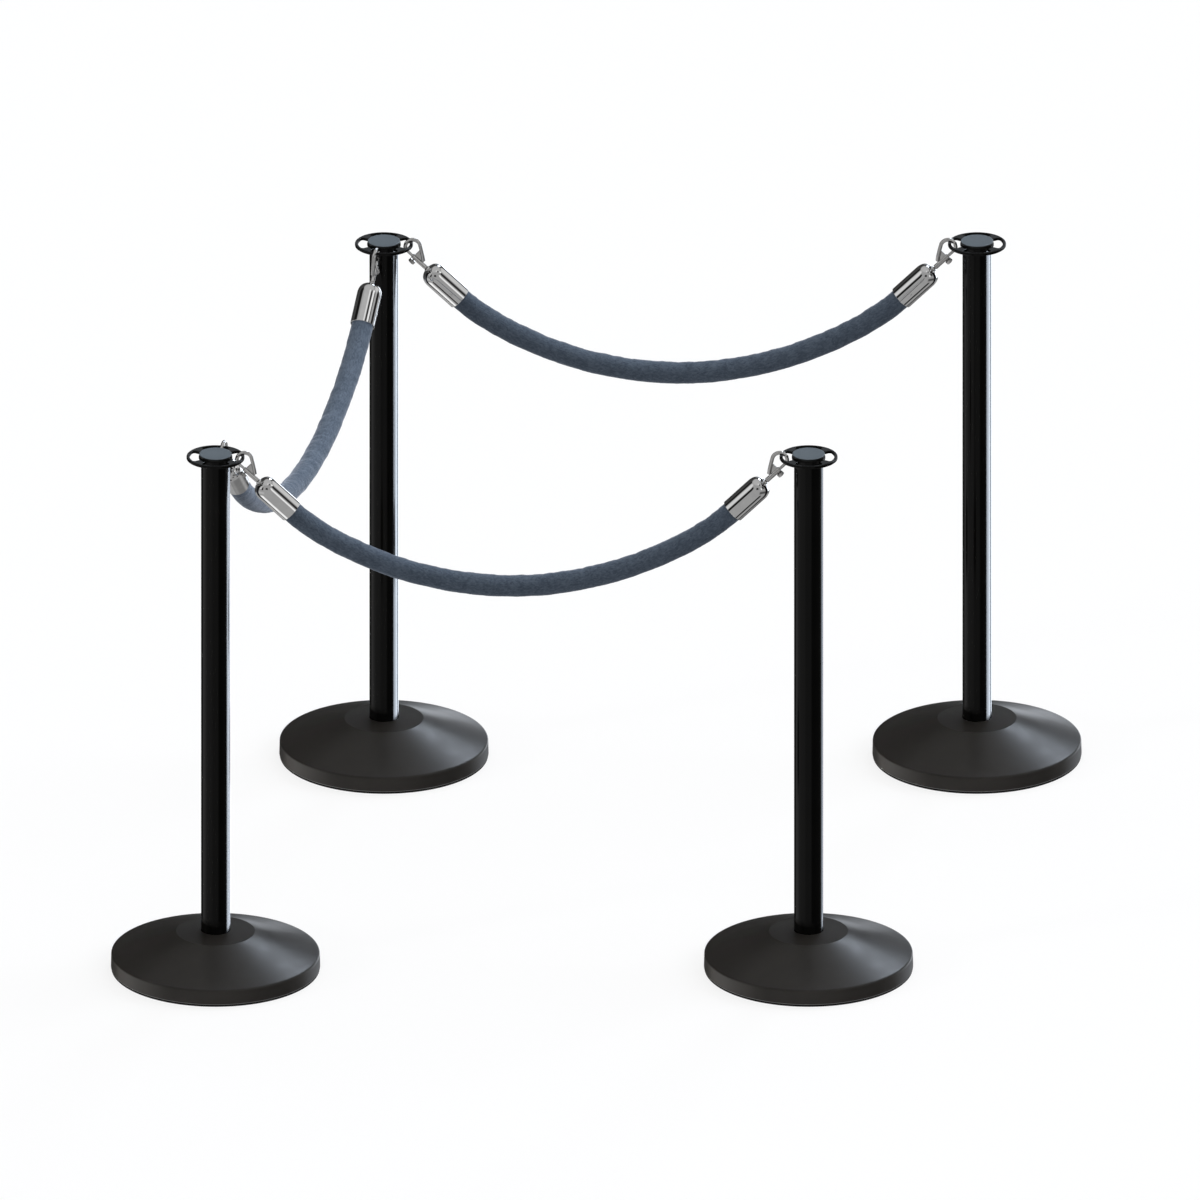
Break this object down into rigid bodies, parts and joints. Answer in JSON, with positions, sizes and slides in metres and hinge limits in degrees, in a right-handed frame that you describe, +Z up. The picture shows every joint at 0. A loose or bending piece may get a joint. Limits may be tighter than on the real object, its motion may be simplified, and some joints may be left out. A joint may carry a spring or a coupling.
{
  "type": "velvet rope barrier",
  "caption": "Free-standing crowd barrier: ring-top posts on domed bases, joined by hanging velvet ropes with chrome end caps and sprung snap hooks.",
  "frame": {"origin": "on the floor, midway between the four posts", "axes": "+Z up, +X from the left posts to the right posts, +Y from the front run to the rear run"},
  "size_m": [1.6696, 1.338, 0.9581],
  "materials": {
    "floor_pad_rubber": "matte",
    "cast_iron": "matte",
    "charcoal_satin_paint": "satin",
    "black_gloss_paint": "gloss",
    "zinc_plated_steel": "satin",
    "cap_paint": "satin",
    "polished_chrome": "polished",
    "spring_steel": "satin",
    "grey_velvet": "matte",
    "cotton_wadding": "matte"
  },
  "bodies": {
    "posts": {"front_left_floor_pad": "floor_pad_rubber", "front_left_base_weight": "cast_iron", "front_left_base_cover": "charcoal_satin_paint", "front_left_post_tube": "black_gloss_paint", "front_left_tie_rod": "zinc_plated_steel", "front_left_ring_head": "black_gloss_paint", "front_left_top_cap": "cap_paint", "front_right_floor_pad": "floor_pad_rubber", "front_right_base_weight": "cast_iron", "front_right_base_cover": "charcoal_satin_paint", "front_right_post_tube": "black_gloss_paint", "front_right_tie_rod": "zinc_plated_steel", "front_right_ring_head": "black_gloss_paint", "front_right_top_cap": "cap_paint", "rear_left_floor_pad": "floor_pad_rubber", "rear_left_base_weight": "cast_iron", "rear_left_base_cover": "charcoal_satin_paint", "rear_left_post_tube": "black_gloss_paint", "rear_left_tie_rod": "zinc_plated_steel", "rear_left_ring_head": "black_gloss_paint", "rear_left_top_cap": "cap_paint", "rear_right_floor_pad": "floor_pad_rubber", "rear_right_base_weight": "cast_iron", "rear_right_base_cover": "charcoal_satin_paint", "rear_right_post_tube": "black_gloss_paint", "rear_right_tie_rod": "zinc_plated_steel", "rear_right_ring_head": "black_gloss_paint", "rear_right_top_cap": "cap_paint"},
    "front_rope": {"front_rope_velvet_sleeve": "grey_velvet", "front_rope_core": "cotton_wadding", "front_rope_left_end_cap": "polished_chrome", "front_rope_right_end_cap": "polished_chrome"},
    "front_rope_left_hook": {"front_rope_left_hook": "polished_chrome", "front_rope_left_spring": "spring_steel"},
    "front_rope_left_latch": {"front_rope_left_latch": "polished_chrome"},
    "front_rope_right_hook": {"front_rope_right_hook": "polished_chrome", "front_rope_right_spring": "spring_steel"},
    "front_rope_right_latch": {"front_rope_right_latch": "polished_chrome"},
    "side_rope": {"side_rope_velvet_sleeve": "grey_velvet", "side_rope_core": "cotton_wadding", "side_rope_front_end_cap": "polished_chrome", "side_rope_rear_end_cap": "polished_chrome"},
    "side_rope_front_hook": {"side_rope_front_hook": "polished_chrome", "side_rope_front_spring": "spring_steel"},
    "side_rope_front_latch": {"side_rope_front_latch": "polished_chrome"},
    "side_rope_rear_hook": {"side_rope_rear_hook": "polished_chrome", "side_rope_rear_spring": "spring_steel"},
    "side_rope_rear_latch": {"side_rope_rear_latch": "polished_chrome"},
    "rear_rope": {"rear_rope_velvet_sleeve": "grey_velvet", "rear_rope_core": "cotton_wadding", "rear_rope_left_end_cap": "polished_chrome", "rear_rope_right_end_cap": "polished_chrome"},
    "rear_rope_left_hook": {"rear_rope_left_hook": "polished_chrome", "rear_rope_left_spring": "spring_steel"},
    "rear_rope_left_latch": {"rear_rope_left_latch": "polished_chrome"},
    "rear_rope_right_hook": {"rear_rope_right_hook": "polished_chrome", "rear_rope_right_spring": "spring_steel"},
    "rear_rope_right_latch": {"rear_rope_right_latch": "polished_chrome"}
  },
  "joints": [
    {"name": "front_rope_swing", "type": "hinge", "parent": "posts", "child": "front_rope", "pos_m": [-0.6076, -0.489, 0.9475], "axis": [1, 0, 0], "range_deg": [-20, 20]},
    {"name": "front_rope_left_swivel", "type": "hinge", "parent": "front_rope", "child": "front_rope_left_hook", "pos_m": [-0.5816, -0.489, 0.90319], "axis": [-0.7193, 0, 0.6947], "range_deg": [-12, 12]},
    {"name": "front_rope_left_latch_slide", "type": "slide", "parent": "front_rope_left_hook", "child": "front_rope_left_latch", "axis": [-0.7193, 0, 0.6947], "range_m": [-0.01, 0], "stiffness_N_per_m": 300, "springref_m": 0.01, "deforming": ["front_rope_left_spring"]},
    {"name": "front_rope_right_swivel", "type": "hinge", "parent": "front_rope", "child": "front_rope_right_hook", "pos_m": [0.2919, -0.489, 0.90319], "axis": [-0.7193, 0, -0.6947], "range_deg": [-12, 12]},
    {"name": "front_rope_right_latch_slide", "type": "slide", "parent": "front_rope_right_hook", "child": "front_rope_right_latch", "axis": [0.7193, 0, 0.6947], "range_m": [-0.01, 0], "stiffness_N_per_m": 300, "springref_m": 0.01, "deforming": ["front_rope_right_spring"]},
    {"name": "side_rope_swing", "type": "hinge", "parent": "posts", "child": "side_rope", "pos_m": [-0.64143, -0.44369, 0.9475], "axis": [0.284, 0.9588, 0], "range_deg": [-20, 20]},
    {"name": "side_rope_front_swivel", "type": "hinge", "parent": "side_rope", "child": "side_rope_front_hook", "pos_m": [-0.63404, -0.41877, 0.90319], "axis": [-0.2043, -0.6897, 0.6947], "range_deg": [-12, 12]},
    {"name": "side_rope_front_latch_slide", "type": "slide", "parent": "side_rope_front_hook", "child": "side_rope_front_latch", "axis": [-0.2043, -0.6897, 0.6947], "range_m": [-0.01, 0], "stiffness_N_per_m": 300, "springref_m": 0.01, "deforming": ["side_rope_front_spring"]},
    {"name": "side_rope_rear_swivel", "type": "hinge", "parent": "side_rope", "child": "side_rope_rear_hook", "pos_m": [-0.38596, 0.41877, 0.90319], "axis": [-0.2043, -0.6897, -0.6947], "range_deg": [-12, 12]},
    {"name": "side_rope_rear_latch_slide", "type": "slide", "parent": "side_rope_rear_hook", "child": "side_rope_rear_latch", "axis": [0.2043, 0.6897, 0.6947], "range_m": [-0.01, 0], "stiffness_N_per_m": 300, "springref_m": 0.01, "deforming": ["side_rope_rear_spring"]},
    {"name": "rear_rope_swing", "type": "hinge", "parent": "posts", "child": "rear_rope", "pos_m": [-0.3179, 0.489, 0.9475], "axis": [1, 0, 0], "range_deg": [-20, 20]},
    {"name": "rear_rope_left_swivel", "type": "hinge", "parent": "rear_rope", "child": "rear_rope_left_hook", "pos_m": [-0.2919, 0.489, 0.90319], "axis": [-0.7193, 0, 0.6947], "range_deg": [-12, 12]},
    {"name": "rear_rope_left_latch_slide", "type": "slide", "parent": "rear_rope_left_hook", "child": "rear_rope_left_latch", "axis": [-0.7193, 0, 0.6947], "range_m": [-0.01, 0], "stiffness_N_per_m": 300, "springref_m": 0.01, "deforming": ["rear_rope_left_spring"]},
    {"name": "rear_rope_right_swivel", "type": "hinge", "parent": "rear_rope", "child": "rear_rope_right_hook", "pos_m": [0.5816, 0.489, 0.90319], "axis": [-0.7193, 0, -0.6947], "range_deg": [-12, 12]},
    {"name": "rear_rope_right_latch_slide", "type": "slide", "parent": "rear_rope_right_hook", "child": "rear_rope_right_latch", "axis": [0.7193, 0, 0.6947], "range_m": [-0.01, 0], "stiffness_N_per_m": 300, "springref_m": 0.01, "deforming": ["rear_rope_right_spring"]}
  ]
}
